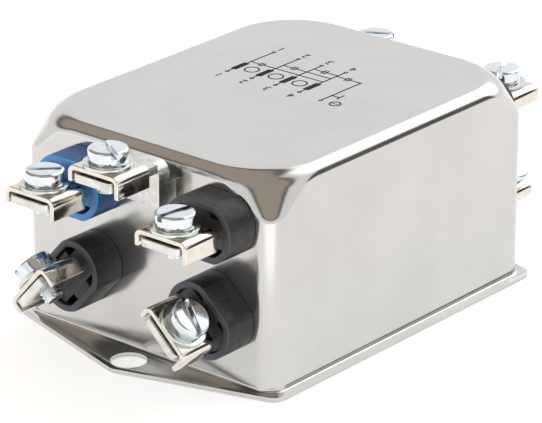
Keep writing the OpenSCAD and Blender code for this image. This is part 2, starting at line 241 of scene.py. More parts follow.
def thicken(piece: Piece, thickness: float) -> None:
    """Gives a sheet that is drawn as its outer surface its thickness.

    Args:
        piece: The sheet.
        thickness: Its thickness, on the side away from its top.
    """
    face_out(piece)
    with editing(piece):
        cage = bmesh.from_edit_mesh(piece.data)
        cage.normal_update()
        if max(cage.faces, key=lambda face: face.calc_center_median().z).normal.z < 0:
            pick_all()
            bpy.ops.mesh.flip_normals()
    modify(piece, "SOLIDIFY", thickness=thickness, offset=-1.0, use_even_offset=True)


def face_out(piece: Piece) -> None:
    """Merges doubled points and turns all faces outwards.

    Args:
        piece: The piece.
    """
    with editing(piece):
        pick_all()
        bpy.ops.mesh.remove_doubles(threshold=0.0005)
        bpy.ops.mesh.normals_make_consistent(inside=False)


def copied(master: Piece, name: str, place: Matrix) -> Piece:
    """Copies a piece that was modelled once, with a mesh of its own, to its place.

    Args:
        master: The piece in its own frame, in millimetres.
        name: Name of the copy.
        place: Where it goes, in millimetres.

    Returns:
        The copy, at the origin, with its place in its mesh, in metres.
    """
    mesh = master.data.copy()
    mesh.name = name
    mesh.transform(TO_METRES @ place)
    piece = bpy.data.objects.new(name, mesh)
    bpy.context.scene.collection.objects.link(piece)
    return piece


def smooth(piece: Piece, angle: float = 32.0) -> None:
    """Shades a piece smooth, with creases where its faces meet at more than an angle in degrees."""
    hold(piece)
    bpy.ops.object.shade_smooth_by_angle(angle=math.radians(angle))


def drop(master: Piece) -> None:
    """Removes a piece that was only there to be copied or cut with."""
    bpy.data.objects.remove(master, do_unlink=True)


def sheet(name: str, size: Pair, middle: Sequence[float]) -> Piece:
    """Lays a flat rectangle, as the start of a folded, raised or printed part.

    Args:
        name: Name of the rectangle.
        size: Its width and length.
        middle: Its middle.

    Returns:
        The rectangle.
    """
    deselect()
    bpy.ops.mesh.primitive_plane_add(size=1)
    piece = started(name)
    with editing(piece):
        pick_all()
        resize((*size, 1))
        shift(middle)
    return piece


def block(name: str, low: Sequence[float], high: Sequence[float]) -> Piece:
    """Makes a plain block, as raw stock or as a cutter.

    Args:
        name: Name of the block.
        low: Its lowest corner.
        high: Its highest corner.

    Returns:
        The block.
    """
    deselect()
    bpy.ops.mesh.primitive_cube_add(size=1)
    piece = started(name)
    low, high = Vector(low), Vector(high)
    with editing(piece):
        pick_all()
        resize(high - low)
        shift((high + low) / 2)
    return piece


def round_bar(name: str, across: float, low: float, high: float,
              middle: Pair = (0, 0), sides: int = 96) -> Piece:
    """Makes an upright round bar, as raw stock or as a drill.

    Args:
        name: Name of the bar.
        across: Its diameter.
        low: Height of its underside.
        high: Height of its top.
        middle: Its middle.
        sides: Number of its sides.

    Returns:
        The bar.
    """
    deselect()
    bpy.ops.mesh.primitive_cylinder_add(vertices=sides, radius=across / 2, depth=high - low,
                                        location=(*middle, (low + high) / 2))
    bpy.ops.object.transform_apply(location=True, rotation=False, scale=False)
    return started(name)


class NodeDesk:
    """A node tree of a material or a world, with short ways to place nodes and join them."""

    def __init__(self, owner: bpy.types.Material | bpy.types.World) -> None:
        """Empties the owner's node tree.

        Args:
            owner: The material or world.
        """
        self.owner = owner
        owner.use_nodes = True
        self.tree = owner.node_tree
        self.tree.nodes.clear()

    def put(self, socket: bpy.types.NodeSocket, value: object) -> None:
        """Sets a socket.

        Args:
            socket: The socket.
            value: A plain value, or another socket that feeds it.
        """
        if isinstance(value, bpy.types.NodeSocket):
            self.tree.links.new(value, socket)
        else:
            socket.default_value = value

    def add(self, kind: str, *values: object, **inputs: object) -> bpy.types.Node:
        """Places a node.

        Args:
            kind: The node's type, without the words that all shader nodes begin with.
            *values: Values for its first sockets, in order.
            **inputs: Values for its sockets or properties, with _ in place of a space.

        Returns:
            The node.
        """
        node = self.tree.nodes.new("ShaderNode" + kind)
        for key, value in inputs.items():
            socket = node.inputs.get(key.replace("_", " "))
            if socket is None:
                setattr(node, key, value)
            else:
                self.put(socket, value)
        for socket, value in zip(node.inputs, values):
            self.put(socket, value)
        return node

    def noise(self, where: bpy.types.NodeSocket, scale: float, detail: float = 3.0,
              rough: float = 0.5) -> bpy.types.NodeSocket:
        """Gives a noise value of about 0 to 1, of so many waves per metre and octaves."""
        return self.add("TexNoise", Vector=where, Scale=scale, Detail=detail, Roughness=rough).outputs["Fac"]

    def spread(self, value: bpy.types.NodeSocket, low: float, high: float,
               start: float = 0.35, end: float = 0.65, kind: str = "LINEAR") -> bpy.types.NodeSocket:
        """Maps a value from start..end to low..high."""
        return self.add("MapRange", interpolation_type=kind, Value=value, From_Min=start, From_Max=end,
                        To_Min=low, To_Max=high).outputs["Result"]

    def mark(self, name: str) -> bpy.types.NodeSocket:
        """Reads a mark that the piece carries on its faces."""
        return self.add("Attribute", attribute_name=name).outputs["Fac"]

    def blend(self, factor: bpy.types.NodeSocket, first: Sequence[float] | bpy.types.NodeSocket,
              second: Sequence[float]) -> bpy.types.NodeSocket:
        """Mixes two colours.

        Args:
            factor: Share of the second colour.
            first: Colour at 0, or a socket that gives it.
            second: Colour at 1.

        Returns:
            The mixed colour.
        """
        node = self.add("Mix", data_type="RGBA")
        share, under, over = (node.inputs[k] for k in (0, 6, 7))
        self.put(share, factor)
        self.put(under, first if isinstance(first, bpy.types.NodeSocket) else (*first, 1.0))
        self.put(over, (*second, 1.0))
        return node.outputs[2]

    def bump(self, height: bpy.types.NodeSocket, depth: float,
             **under: bpy.types.NodeSocket) -> bpy.types.NodeSocket:
        """Turns a height of about 0 to 1 into a bump of a depth in metres, on another one if given."""
        return self.add("Bump", Height=height, Distance=depth, Strength=1.0, **under).outputs["Normal"]

    def own(self) -> bpy.types.NodeSocket:
        """Gives the piece's own coordinates."""
        return self.add("TexCoord").outputs["Object"]

    def close(self, surface: bpy.types.NodeSocket, kind: str = "OutputMaterial") -> bpy.types.ID:
        """Joins a surface to the output and gives the material or world."""
        self.add(kind, Surface=surface)
        return self.owner


@dataclass(frozen=True)
class Plating:
    """A plated metal with faint waves, cloudy tarnish and fine rubbing marks."""

    name: str
    colour: Triple
    cloud: Triple
    gloss: Pair = (0.1, 0.2)
    cloud_scale: float = 260.0
    wave_scale: float = 90.0
    wave_depth: float = 0.00002
    grain_depth: float = 0.0000015
    grain_scale: float = 2600.0
    metal: float = 1.0

    def material(self) -> bpy.types.Material:
        """Builds the material."""
        desk = NodeDesk(bpy.data.materials.new(self.name))
        own = desk.own()
        cloud = desk.noise(own, self.cloud_scale, 4.0, 0.6)
        colour = desk.blend(desk.spread(cloud, 0.0, 1.0), self.colour, self.cloud)
        rough = desk.spread(desk.noise(own, self.cloud_scale * 2.3, 3.0), *self.gloss)
        wave = desk.bump(desk.noise(own, self.wave_scale, 2.0), self.wave_depth)
        normal = desk.bump(desk.noise(own, self.grain_scale, 2.0, 0.7), self.grain_depth, Normal=wave)
        shader = desk.add("BsdfPrincipled", Base_Color=colour, Metallic=self.metal, Roughness=rough, Normal=normal)
        return desk.close(shader.outputs[0])


@dataclass(frozen=True)
class Moulding:
    """A moulded plastic with a fine grain and slight wear of its gloss, and with painted light on its marked faces
    where it has an edge colour.
    """

    name: str
    colour: Triple
    worn: Triple
    # edge: painted highlight colour, laid as painted light on the faces that carry the front mark
    edge: Triple | None = None
    gloss: Pair = (0.32, 0.46)
    grain_depth: float = 0.000016
    grain_scale: float = 3000.0
    mottle_scale: float = 1500.0
    gloss_scale: float = 900.0

    def material(self) -> bpy.types.Material:
        """Builds the material."""
        desk = NodeDesk(bpy.data.materials.new(self.name))
        own = desk.own()
        cloud = desk.noise(own, self.mottle_scale, 4.0, 0.65)
        colour = desk.blend(desk.spread(cloud, 0.0, 1.0), self.colour, self.worn)
        # painted light: the edge colour goes on the rim's front and floor as painted lit faces, and on its outer edge
        # as a painted highlight
        if self.edge:
            colour = desk.blend(desk.mark("front"), colour, self.edge)
        rough = desk.spread(desk.noise(own, self.gloss_scale, 3.0), *self.gloss)
        normal = desk.bump(desk.noise(own, self.grain_scale, 3.0, 0.6), self.grain_depth)
        shader = desk.add("BsdfPrincipled", Base_Color=colour, Roughness=rough, Normal=normal)
        return desk.close(shader.outputs[0])


class Coat(Enum):
    """The finishes of the visible pieces."""

    CAN = Plating("can_tin_plate", (0.66, 0.655, 0.645), (0.62, 0.615, 0.60), gloss=(0.15, 0.175),
                  cloud_scale=60.0, wave_scale=55.0, wave_depth=0.000012, metal=0.94)
    NICKEL = Plating("saddle_nickel_plate", (0.80, 0.76, 0.70), (0.72, 0.67, 0.60), gloss=(0.07, 0.14),
                     cloud_scale=500.0, wave_scale=160.0, wave_depth=0.00003)
    ZINC = Plating("screw_zinc_plate", (0.80, 0.84, 0.88), (0.72, 0.77, 0.82), gloss=(0.1, 0.18),
                   cloud_scale=700.0, wave_scale=220.0, wave_depth=0.00002)
    WASHER = Plating("washer_zinc_plate", (0.70, 0.74, 0.70), (0.60, 0.65, 0.61), gloss=(0.12, 0.2),
                     cloud_scale=500.0, wave_scale=120.0, grain_depth=0.0000005)
    TIN = Plating("tab_tin_plate", (0.82, 0.81, 0.78), (0.62, 0.63, 0.58), gloss=(0.26, 0.42),
                  cloud_scale=480.0, wave_scale=240.0, wave_depth=0.000035, grain_depth=0.0000004)
    # edge is a painted highlight colour: painted light on the rim's front, outer edge and floor
    BLACK = Moulding("insulator_black", (0.013, 0.012, 0.012), (0.038, 0.035, 0.036),
                     edge=(0.10, 0.098, 0.118))
    INK = Moulding("print_black", (0.004, 0.005, 0.007), (0.010, 0.011, 0.014), gloss=(0.75, 0.9),
                   grain_depth=0.000002)
    # edge is a painted highlight colour: painted light on the rim's front, outer edge and floor
    BLUE = Moulding("insulator_blue", (0.02, 0.105, 0.32), (0.03, 0.135, 0.38),
                    edge=(0.12, 0.42, 0.86), grain_depth=0.000008)
    RESIN = Moulding("cast_resin", (0.10, 0.085, 0.065), (0.14, 0.12, 0.09), gloss=(0.3, 0.45))
    LINER = Moulding("pressed_board", (0.60, 0.52, 0.35), (0.66, 0.58, 0.42), gloss=(0.75, 0.9))
    FERRITE = Moulding("sintered_ferrite", (0.045, 0.045, 0.05), (0.065, 0.065, 0.07), gloss=(0.5, 0.7))
    LAMINATE = Moulding("board_laminate", (0.07, 0.22, 0.11), (0.09, 0.26, 0.13), gloss=(0.35, 0.5))
    YELLOW = Moulding("film_case_yellow", (0.62, 0.42, 0.05), (0.68, 0.48, 0.08), gloss=(0.2, 0.32))
    SKY = Moulding("film_case_blue", (0.05, 0.17, 0.42), (0.07, 0.2, 0.46), gloss=(0.2, 0.32))
    ENAMEL = Plating("enamelled_copper", (0.60, 0.27, 0.11), (0.50, 0.21, 0.08), gloss=(0.2, 0.3),
                     cloud_scale=400.0, wave_scale=700.0)

    def put_on(self, piece: Piece) -> None:
        """Gives a piece this finish."""
        piece.data.materials.clear()
        piece.data.materials.append(self.material())

    def material(self) -> bpy.types.Material:
        """Gives this finish's material, which is built once."""
        return bpy.data.materials.get(self.value.name) or self.value.material()


@dataclass
class DrawnCan:
    """The drawn can with its flange, and the base plate under it."""

    width: float = 57.5
    length: float = 72.0
    height: float = 39.5
    sheet: float = 0.5
    base_sheet: float = 0.4
    corner_r: float = 3.8
    shoulder_r: float = 10.8
    shoulder_drop: float = 7.1
    flare_blend: float = 0.6
    edge_r: float = 2.4
    root_r: float = 0.6
    flange_w: float = 1.6
    flange_r: float = 2.6
    ear_reach: float = 9.0
    ear_foot: float = 0.9
    hole_d: float = 6.5
    hole_reach: float = 4.5
    corner_steps: int = 20
    lid_inset: float = 0.5
    root_steps: int = 6
    wall_steps: int = 5
    blend_steps: int = 8
    roll_steps: int = 15

    def rings(self) -> list[Triple]:
        """Gives the can's rings from the flange up, as height, inset and corner radius."""
        top = self.base_sheet + self.sheet
        foot, low, high = top + self.root_r, self.height - self.shoulder_drop, self.height - self.edge_r
        rows = []
        for k in range(self.root_steps + 1):
            turn = math.pi / 2 * k / self.root_steps
            out = self.root_r * (1 - math.sin(turn))
            rows.append((top + self.root_r * (1 - math.cos(turn)), -out, self.corner_r + out))
        rows += [(foot + (low - foot) * k / self.wall_steps, 0.0, self.corner_r) for k in range(1, self.wall_steps)]
        rows.append((low - self.flare_blend, 0.0, self.corner_r))
        half = self.blend_steps / 2
        rises = [(k / half - 1) * self.flare_blend for k in range(1, self.blend_steps + 1)]
        rises += [self.flare_blend + (high - low - self.flare_blend) * k / self.wall_steps
                  for k in range(1, self.wall_steps + 1)]
        rows += [(low + rise, 0.0, self.flare(rise)) for rise in rises]
        for k in range(1, self.roll_steps + 1):
            turn = math.pi / 2 * k / self.roll_steps
            inset = self.edge_r * (1 - math.cos(turn))
            z = high + self.edge_r * math.sin(turn)
            rows.append((z, inset, self.flare(z - low) - inset))
        rows.append((self.height, self.edge_r + self.lid_inset, rows[-1][2] - self.lid_inset))
        return rows

    def flare(self, rise: float) -> float:
        """Gives the corner radius over the shoulder, which flares on a straight line.

        Args:
            rise: Height over the flare's start.

        Returns:
            The corner radius.
        """
        slope = (self.shoulder_r - self.corner_r) / (self.shoulder_drop - self.edge_r)
        blend = self.flare_blend
        grown = (rise + blend) ** 2 / (4 * blend) if rise < blend else rise
        return self.corner_r + slope * grown

    def add_ring(self, piece: Piece, mark: int, ring: Triple) -> None:
        """Adds one ring, a plane with round corners and no face, to the piece in edit mode.

        Args:
            piece: The piece in edit mode.
            mark: Number that the ring's points carry.
            ring: Height, inset and corner radius.
        """
        z, inset, radius = ring
        bpy.ops.mesh.select_all(action="DESELECT")
        bpy.ops.mesh.primitive_plane_add(size=1, location=(0, 0, z))
        resize((self.width - 2 * inset, self.length - 2 * inset, 1), (0, 0, z))
        bpy.ops.mesh.bevel(offset=radius, segments=self.corner_steps, affect="VERTICES")
        cage = bmesh.from_edit_mesh(piece.data)
        layer = cage.verts.layers.int["ring"]
        for point in cage.verts:
            if point.select:
                point[layer] = mark
        bmesh.update_edit_mesh(piece.data)
        bpy.ops.mesh.delete(type="ONLY_FACE")

    def join_rings(self, piece: Piece, mark: int) -> None:
        """Bridges a ring to the one before it.

        Args:
            piece: The piece in edit mode.
            mark: Number of the later ring.
        """
        bpy.ops.mesh.select_mode(type="EDGE")
        bpy.ops.mesh.select_all(action="DESELECT")
        cage = bmesh.from_edit_mesh(piece.data)
        layer = cage.verts.layers.int["ring"]
        for edge in cage.edges:
            a, b = (point[layer] for point in edge.verts)
            edge.select_set(a == b and a in (mark, mark - 1))
        bmesh.update_edit_mesh(piece.data)
        bpy.ops.mesh.bridge_edge_loops()
        bpy.ops.mesh.select_mode(type="VERT")

    def shell(self) -> Piece:
        """Makes the can's body as a shell of one sheet."""
        deselect()
        bpy.ops.mesh.primitive_plane_add(size=1)
        body = started("can_body")
        body.data.attributes.new("ring", "INT", "POINT")
        inner = self.edge_r + self.lid_inset - 0.1
        with editing(body):
            pick_all()
            bpy.ops.mesh.delete(type="VERT")
            for mark, ring in enumerate(self.rings(), 1):
                self.add_ring(body, mark, ring)
                if mark > 1:
                    self.join_rings(body, mark)
            pick_points(body, lambda p: p.z > self.height - 0.001 and abs(p.x) < self.width / 2 - inner
                        and abs(p.y) < self.length / 2 - inner)
            bpy.ops.mesh.edge_face_add()
        thicken(body, self.sheet)
        return body

    def round_box(self, name: str, inset: float, radius: float, low: float, high: float) -> Piece:
        """Makes an upright block with round corners.

        Args:
            name: Name of the piece.
            inset: How far it is drawn in from the can's outside.
            radius: Corner radius.
            low: Height of its underside.
            high: Height of its top.

        Returns:
            The block.
        """
        box = sheet(name, (self.width - 2 * inset, self.length - 2 * inset), (0, 0, low))
        with editing(box):
            pick_all()
            bpy.ops.mesh.bevel(offset=radius, segments=self.corner_steps, affect="VERTICES")
            pick_all()
            push((0, 0, high - low))
        face_out(box)
        return box

    def outline_plate(self, name: str, low: float, high: float) -> Piece:
        """Makes a plate with the flange's outline: four round corners and two pointed ears.

        Args:
            name: Name of the plate.
            low: Height of its underside.
            high: Height of its top.

        Returns:
            The plate with its two fixing holes.
        """
        side = self.width / 2 + self.flange_w - self.flange_r
        foot = self.length / 2 + self.ear_foot - self.flange_r
        tip = self.length / 2 + self.ear_reach - self.flange_r
        centres = [(side, foot), (side, -foot), (-side, foot), (-side, -foot), (0, tip), (0, -tip)]
        plate = weld([round_bar(name, 2 * self.flange_r, low, high, centre, 72) for centre in centres], name)
        with editing(plate):
            pick_all()
            bpy.ops.mesh.convex_hull()
            pick_all()
            bpy.ops.mesh.dissolve_limited(angle_limit=math.radians(0.4))
        for sign in (-1, 1):
            centre = (0, sign * (self.length / 2 + self.hole_reach))
            carve(plate, round_bar("hole_cutter", self.hole_d, low - 2, low + 2, centre))
        return plate

    def build(self) -> None:
        """Makes the can and the base plate, and dresses them."""
        top = self.base_sheet + self.sheet
        flange = self.outline_plate("can_flange", self.base_sheet, top)
        carve(flange, self.round_box("cavity", self.sheet, self.corner_r - self.sheet, -1.0, 3.0))
        soften(flange, 0.09, 2, 50)
        plate = self.outline_plate("plate_master", 0.0, self.base_sheet)
        soften(plate, 0.08, 2, 50)
        body = weld([self.shell(), flange], "can_master")
        for master, name, node in ((body, "can_shell", "can"), (plate, "base_sheet", "base_plate")):
            piece = copied(master, name, Matrix.Identity(4))
            smooth(piece, 30)
            Coat.CAN.put_on(piece)
            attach(piece, HOUSING)
            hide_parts(node)
            drop(master)
            LOG.info("made %s", name)


@dataclass
class Inside:
    """What the sealed can holds. These solids keep their shape and only get their finishes."""

    finishes: tuple[tuple[str, Coat], ...] = (
        ("resin", Coat.RESIN), ("liner", Coat.LINER), ("choke_core", Coat.FERRITE), ("winding", Coat.ENAMEL),
        ("capacitor_board", Coat.LAMINATE), ("x_capacitor", Coat.YELLOW), ("y_capacitor", Coat.SKY),
        ("leads", Coat.ENAMEL))

    def build(self) -> None:
        """Finishes each hidden solid."""
        for name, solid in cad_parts.items():
            for start, coat in self.finishes:
                if name.startswith(start):
                    for place in solid.material_slots:
                        place.material = coat.material()
                    LOG.info("finished %s", name)


@dataclass
class TopPrint:
    """The wiring diagram printed on the can's top, read from the load end, with plain numbers."""

    level: float = 39.5
    ink: float = 0.02
    line_w: float = 0.3
    lines_x: tuple[float, ...] = (-13.4, -7.6, -2.1, 3.5)
    line_y: Pair = (1.6, 14.8)
    coil_y: Pair = (3.3, 7.2)
    coil_w: float = 1.25
    core_r: float = 1.5
    core_y: float = 5.1
    rungs_y: tuple[float, ...] = (8.3, 10.5, 12.5)
    earth_x: float = 9.1
    earth_y: Pair = (1.2, 12.3)
    dot_r: float = 0.42
    number_size: float = 2.6
    number_gap: float = 2.2
    plates_at: float = 2.6
    plate_gap: float = 0.3
    plate_half: float = 0.16
    plate_l: float = 0.85
    earth_sign: tuple[tuple[Pair, Pair, float], ...] = (
        ((0.15, 1.6), (2.6, 2.9), 0.8), ((1.6, 1.9), (1.9, 4.1), 1.0), ((2.4, 3.8), (-0.3, -0.1), 1.0))
    earth_ring: Triple = (3.1, -0.2, 1.15)
    parts: list[Piece] = field(default_factory=list)

    def strip(self, x: Pair, y: Pair, lift: float = 1.0) -> None:
        """Lays a straight strip of ink.

        Args:
            x: Where it starts and ends across the can.
            y: Where it starts and ends along the can.
            lift: Share of the ink's thickness that it has.
        """
        piece = sheet("ink", (x[1] - x[0], y[1] - y[0]), ((x[0] + x[1]) / 2, (y[0] + y[1]) / 2, self.level))
        with editing(piece):
            pick_all()
            push((0, 0, self.ink * lift))
        self.parts.append(piece)

    def ring(self, x: float, y: float, radius: float, width: float) -> None:
        """Lays a ring of ink.

        Args:
            x: Its middle across the can.
            y: Its middle along the can.
            radius: Its outer radius.
            width: Width of the ink.
        """
        deselect()
        bpy.ops.mesh.primitive_circle_add(vertices=48, radius=radius, fill_type="NOTHING")
        piece = started("ink")
        share = (radius - width) / radius
        with editing(piece):
            pick_all()
            push((0, 0, 0))
            resize((share, share, 1))
            pick_all()
            shift((x, y, self.level))
            push((0, 0, self.ink))
        self.parts.append(piece)

    def number(self, text: str, x: float, y: float) -> None:
        """Lays a plain number that reads from the load end.

        Args:
            text: The number.
            x: Its middle across the can.
            y: Its middle along the can.
        """
        deselect()
        bpy.ops.object.text_add(location=(0, 0, 0))
        piece = bpy.context.active_object
        piece.data.body = text
        piece.data.size = self.number_size
        piece.data.align_x, piece.data.align_y = "CENTER", "CENTER"
        piece.data.extrude = self.ink / 2
        bpy.ops.object.convert(target="MESH")
        middle = Matrix.Translation((x, y, self.level + self.ink / 2))
        piece.data.transform(middle @ Matrix.Rotation(math.pi, 4, "Z"))
        self.parts.append(piece)

    def build(self) -> None:
        """Draws the diagram and puts it on the can."""
        half, coil, thin = self.line_w / 2, self.coil_w / 2, self.line_w * 0.8
        first, last = self.line_y
        for number, x in enumerate(self.lines_x, 1):
            self.strip((x - half, x + half), (first + self.dot_r, self.coil_y[0]))
            self.strip((x - coil, x + coil), self.coil_y)
            self.strip((x - half, x + half), (self.coil_y[1], last - self.dot_r))
            for y, beside in ((first, -self.number_gap), (last, self.number_gap)):
                self.ring(x, y, self.dot_r, thin)
                self.number(str(number), x, y + beside)
            if number < len(self.lines_x):
                self.ring((x + self.lines_x[number]) / 2, self.core_y, self.core_r, self.line_w)
                self.capacitor(x, self.lines_x[-1], self.rungs_y[number - 1])
        x, (low, high) = self.earth_x, self.earth_y
        self.capacitor(self.lines_x[-1], x, high - half)
        self.strip((x - half, x + half), (low, high))
        self.ring(x, low - self.dot_r, self.dot_r, thin)
        for across, along, lift in self.earth_sign:
            self.strip((x + across[0], x + across[1]), (low + along[0], low + along[1]), lift)
        dx, dy, radius = self.earth_ring
        self.ring(x + dx, low + dy, radius, self.line_w)
        print_piece = weld(self.parts, "top_print_diagram")
        face_out(print_piece)
        print_piece.data.transform(TO_METRES)
        Coat.INK.put_on(print_piece)
        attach(print_piece, HOUSING)
        LOG.info("made %s", print_piece.name)

    def capacitor(self, start: float, end: float, y: float) -> None:
        """Lays a rung with a capacitor's two plates near its start.

        Args:
            start: Where the rung starts across the can.
            end: Where it ends.
            y: Its place along the can.
        """
        half = self.line_w / 2
        left, right = (start + self.plates_at + side * self.plate_gap for side in (-1, 1))
        self.strip((start, left), (y - half, y + half), 0.8)
        self.strip((right, end), (y - half, y + half), 0.8)
        for x in (left, right):
            self.strip((x - self.plate_half, x + self.plate_half), (y - self.plate_l, y + self.plate_l), 1.15)


@dataclass(frozen=True)
class Spot:
    """Where one clamp stands, in millimetres."""

    key: str
    x: float
    y: float
    z: float
    lean: float
    slot_turn: float

    def place(self) -> Matrix:
        """Gives the clamp's own frame: Y runs inwards and Z along its screw."""
        turn = Matrix.Rotation(math.radians(self.lean), 4, "Y")
        face = Matrix.Rotation(math.pi if self.y > 0 else 0.0, 4, "Z")
        return Matrix.Translation((self.x, self.y, self.z)) @ turn @ face


@dataclass
class Terminals:
    """The nine saddle clamps, with the insulators and tabs that carry eight of them."""

    wall_y: float = 36.0
    column: float = 14.95
    low_row: float = 14.1015
    high_row: float = 30.6915
    earth_z: float = 38.4
    line_shift: float = 3.0
    load_shift: float = -1.0
    load_drop: float = 2.1
    low_leans: Pair = (-48.0, 43.0)
    slot_turns: tuple[float, ...] = (46, 81, 75, -15, 30, -62, 20, 100, -31)
    reach: float = 12.0
    tab_level: float = 0.75
    tab_t: float = 1.5
    tab_w: float = 8.6
    tab_nose: float = 4.4
    tab_back: float = 5.1
    nose_r: float = 1.0
    ins_w: float = 14.6
    ins_h: float = 10.6
    side_r: float = 5.65
    ins_out: float = 6.7
    ins_rim: float = 1.2
    ins_moat: float = 0.14
    moat_depth: float = 3.2
    boss_drop: float = 0.8
    boss_foot: float = 0.5
    pocket_at: Pair = (3.5, 3.3)
    pocket_size: Pair = (2.6, 1.4)
    pocket_depth: float = 2.2
    saddle_w: float = 11.4
    saddle_l: float = 8.0
    saddle_t: float = 0.9
    saddle_r: float = 1.5
    saddle_low: float = 1.1
    long_low: float = -2.0
    short_low: float = -1.1
    washer_d: float = 8.8
    washer_t: float = 0.7
    washer_bore: float = 4.1
    washer_gap: float = 0.05
    head_d: float = 7.0
    head_h: float = 2.5
    head_low: float = 2.75
    slot_w: float = 1.2
    slot_depth: float = 1.1
    core_d: float = 3.2
    crest_d: float = 3.96
    pitch: float = 0.7
    tip_low: float = -2.8
    leg_x: float = 4.5
    leg_bend_r: float = 2.2
    leg_depth: float = 4.4
    leg_drop: float = 6.4
    wall_gap: float = 1.7
    strip_lap: float = 1.5

    def spots(self) -> list[Spot]:
        """Lists the nine clamps: the line end's four, the load end's four and the earth's."""
        rows = []
        turns = iter(self.slot_turns)
        left, right = self.low_leans
        grid = (("n", -self.column, self.high_row, 0.0), ("1", self.column, self.high_row, 0.0),
                ("2", -self.column, self.low_row, left), ("3", self.column, self.low_row, right))
        for end, shift, y, down in (("line", self.line_shift, -self.wall_y, 0.0),
                                    ("load", self.load_shift, self.wall_y, self.load_drop)):
            rows += [Spot(f"{end}_{key}", shift + x, y, z - down, lean, next(turns)) for key, x, z, lean in grid]
        rows.append(Spot("earth", self.line_shift, -self.wall_y, self.earth_z, 0.0, next(turns)))
        return rows

    def bar(self, name: str, inset: float, low: float, high: float) -> Piece:
        """Makes an upright bar with the insulator's outline: two round sides between two flats.

        Args:
            name: Name of the bar.
            inset: How far the outline is drawn in.
            low: Height of its underside.
            high: Height of its top.

        Returns:
            The bar.
        """
        deselect()
        bpy.ops.mesh.primitive_circle_add(vertices=72, radius=self.side_r - inset, fill_type="NGON")
        piece = started(name)
        spread = self.ins_w / 2 - self.side_r
        with editing(piece):
            for side in (-1, 1):
                pick_points(piece, lambda p: p.x * side > 0.001)
                shift((side * spread, 0, 0))
            for side in (-1, 1):
                cut_away((0, side * (self.ins_h / 2 - inset), 0), (0, side, 0))
            pick_all()
            bpy.ops.mesh.remove_doubles(threshold=0.2)
            pick_all()
            shift((0, 0, low))
            push((0, 0, high - low))
        face_out(piece)
        return piece

    def insulator(self) -> Piece:
        """Makes an insulator: round sides, flats, a rim, and a floor just under it with four pockets."""
        body = self.bar("insulator_master", 0, 0, self.ins_out)
        carve(body, self.bar("moat_cutter", self.ins_rim, self.ins_out - self.moat_depth, self.ins_out + 1))
        floor = self.ins_out - self.boss_drop
        boss = self.bar("boss", self.ins_rim + self.ins_moat, self.boss_foot, floor)
        at, half = Vector(self.pocket_at), Vector(self.pocket_size) / 2
        for side in ((-1, -1), (-1, 1), (1, -1), (1, 1)):
            middle = at * Vector(side)
            carve(boss, block("pocket", (*(middle - half), floor - self.pocket_depth), (*(middle + half), floor + 1)))
        for part in (body, boss):
            soften(part, 0.24, 3, 15)
        piece = weld([body, boss], "insulator_master")
        # marks the faces where the finish paints light on the insulator
        self.mark_front(piece, floor)
        return piece

    def mark_front(self, piece: Piece, floor: float) -> None:
        """Marks the faces that the finish makes paler as painted light: the rim's front, its outer edge as a painted
        highlight, and the floor.

        Args:
            piece: The insulator.
            floor: Height of the floor.
        """
        painted_light_marks = piece.data.attributes.new("front", "FLOAT", "FACE")
        for face, mark in zip(piece.data.polygons, painted_light_marks.data):
            z, up = face.center.z, face.normal.z
            # painted light: 0.6 on the rim's front, 1.0 as a painted highlight on its outer edge, 0.35 on the floor
            if up > 0.9 and z > self.ins_out - 0.05:
                mark.value = 0.6
            elif z > self.ins_out - 0.3 and up > 0.05:
                mark.value = 1.0
            elif up > 0.3 and abs(z - floor) < 0.3:
                mark.value = 0.35

    def plate(self, name: str, back: float) -> Piece:
        """Makes the flat of a contact tab with its round nose.

        Args:
            name: Name of the piece.
            back: How far it runs inwards from the wall's outer face.

        Returns:
            The plate.
        """
        nose, half = self.reach + self.tab_nose, self.tab_w / 2
        piece = block(name, (-half, -nose, self.tab_level - self.tab_t), (half, back, self.tab_level))
        with editing(piece):
            pick_edges(piece, lambda e: all(p.co.y < -nose + 0.01 for p in e.verts)
                       and abs(e.verts[0].co.z - e.verts[1].co.z) > 1)
            bpy.ops.mesh.bevel(offset=self.nose_r, segments=8)
        return piece

    def bore(self, piece: Piece) -> None:
        """Drills the screw's hole through a sheet part."""
        carve(piece, round_bar("bore_cutter", self.washer_bore, -4, 4, (0, -self.reach), 40))

    def tab(self) -> Piece:
        """Makes a contact tab."""
        piece = self.plate("tab_master", self.tab_back)
        self.bore(piece)
        soften(piece, 0.14, 3, 40)
        return piece

    def bend_down(self, piece: Piece, side: int, edge_x: float, radius: float, top: float, low: float) -> None:
        """Bends the outer edge of a strip down at one side and lengthens it.

        Args:
            piece: The strip in edit mode.
            side: 1 bends the edge at +X and -1 the one at -X.
            edge_x: Where the bend starts.
            radius: Outer radius of the bend.
            top: Height of the strip.
            low: Height where the bent part ends.
        """
        pick_edges(piece, lambda e: all(abs(p.co.x - side * edge_x) < 0.001 for p in e.verts))
        bpy.ops.mesh.spin(steps=8, angle=-side * math.pi / 2, center=(side * edge_x, 0, top - radius),
                          axis=(0, 1, 0))
        push((0, 0, low - (top - radius)))

    def saddle(self) -> Piece:
        """Makes a saddle: a strip bent down at both sides, one side longer."""
        top = self.saddle_low + self.saddle_t
        edge = self.saddle_w / 2 - self.saddle_r
        piece = sheet("saddle_master", (2 * edge, self.saddle_l), (0, -self.reach, top))
        with editing(piece):
            self.bend_down(piece, 1, edge, self.saddle_r, top, self.long_low)
            self.bend_down(piece, -1, edge, self.saddle_r, top, self.short_low)
        thicken(piece, self.saddle_t)
        self.bore(piece)
        soften(piece, 0.16, 3, 40)
        return piece

